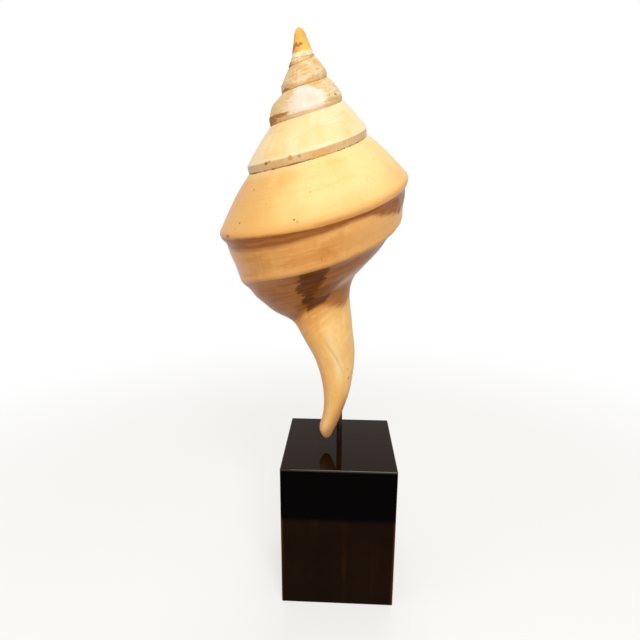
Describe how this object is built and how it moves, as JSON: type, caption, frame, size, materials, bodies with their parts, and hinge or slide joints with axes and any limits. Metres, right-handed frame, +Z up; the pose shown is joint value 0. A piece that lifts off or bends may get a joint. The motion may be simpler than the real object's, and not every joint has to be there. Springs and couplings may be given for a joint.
{
  "type": "trumpet shell on display stand",
  "caption": "Long spired sea shell with a sharp shoulder and a drawn-out canal, held point-up on a slim metal rod in a tall lacquered block.",
  "frame": {"origin": "centre of the block's flat underside", "axes": "+Z up from the block to the tip of the spire; -Y is the side shown, the shell's back; the mouth opens toward +Y"},
  "size_m": [0.1902, 0.1796, 0.5992],
  "materials": {
    "shell": "polished apricot and cream shell, paler at the spire",
    "rod": "dark bronze",
    "block": "high-gloss black lacquer"
  },
  "bodies": {
    "root": {"trumpet_shell": "shell", "mounting_rod": "rod", "base_block": "block"}
  },
  "joints": []
}
